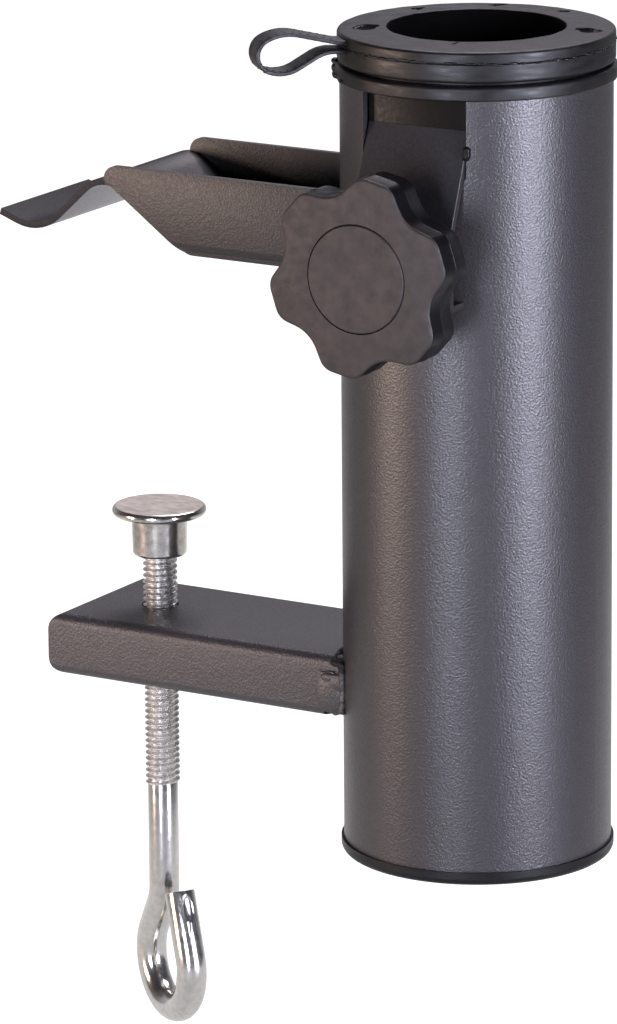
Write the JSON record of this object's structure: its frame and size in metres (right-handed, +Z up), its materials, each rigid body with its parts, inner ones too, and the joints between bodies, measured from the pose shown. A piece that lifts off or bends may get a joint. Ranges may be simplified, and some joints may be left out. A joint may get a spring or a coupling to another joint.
{
  "type": "parasol pole holder",
  "caption": "Parasol pole holder for a rail or table edge: steel tube socket with reducing rings and a star knob, a hooked upper jaw, and a lower arm with an eye screw and swivel pad.",
  "frame": {"origin": "centre of the steel tube's top end, on the axis of the pole bore", "axes": "+Z up along the tube and out of the socket's mouth, the two clamp arms reach along -X, the knob stands off along -Y"},
  "size_m": [0.1446, 0.0837, 0.2431],
  "materials": {
    "powder_coat": "hammered satin",
    "weld_bead": "lumpy satin",
    "black_plastic": "satin",
    "strap": "satin",
    "knob_plastic": "matte face, glossy bevels",
    "zinc": "bright zinc plating"
  },
  "bodies": {
    "holder": {"socket_tube": "powder_coat", "base_plug": "black_plastic", "tube_collar": "black_plastic", "knob_bracket": "powder_coat", "bracket_nut": "zinc", "bracket_weld": "weld_bead", "upper_jaw": "powder_coat", "jaw_weld": "weld_bead", "lower_arm": "powder_coat", "arm_end_cap": "powder_coat", "arm_nut": "zinc", "arm_weld": "weld_bead"},
    "pad": {"clamp_pad": "zinc"},
    "screw": {"eye_screw": "zinc"},
    "bolt_tip": {"bolt_tip_cap": "black_plastic"},
    "knob": {"star_knob": "knob_plastic", "knob_cap": "knob_plastic", "clamp_bolt": "zinc"},
    "outer_ring": {"outer_reducer": "black_plastic", "tether_strap": "strap"},
    "inner_ring": {"inner_reducer": "black_plastic"}
  },
  "joints": [
    {"name": "pad_slide", "type": "slide", "parent": "holder", "child": "pad", "axis": [0, 0, 1], "range_m": [-0.0112, 0.0268]},
    {"name": "screw_turn", "type": "hinge", "parent": "pad", "child": "screw", "pos_m": [-0.0835, 0, -0.15], "axis": [0, 0, 1], "range_deg": [-2880, 6840]},
    {"name": "tip_slide", "type": "slide", "parent": "holder", "child": "bolt_tip", "axis": [0, 1, 0], "range_m": [0, 0.0071]},
    {"name": "knob_turn", "type": "hinge", "parent": "bolt_tip", "child": "knob", "pos_m": [0, -0.04, -0.0355], "axis": [0, 1, 0], "range_deg": [0, 1800]},
    {"name": "outer_lift", "type": "slide", "parent": "holder", "child": "outer_ring", "axis": [0, 0, 1], "range_m": [0, 0.03]},
    {"name": "inner_lift", "type": "slide", "parent": "outer_ring", "child": "inner_ring", "axis": [0, 0, 1], "range_m": [0, 0.03], "deforming": ["tether_strap"]}
  ],
  "couplings": [
    {"joint": "screw_turn", "follows": "pad_slide", "rad_per_m": 4452.9},
    {"joint": "tip_slide", "follows": "knob_turn", "m_per_rad": 0.00022457}
  ]
}
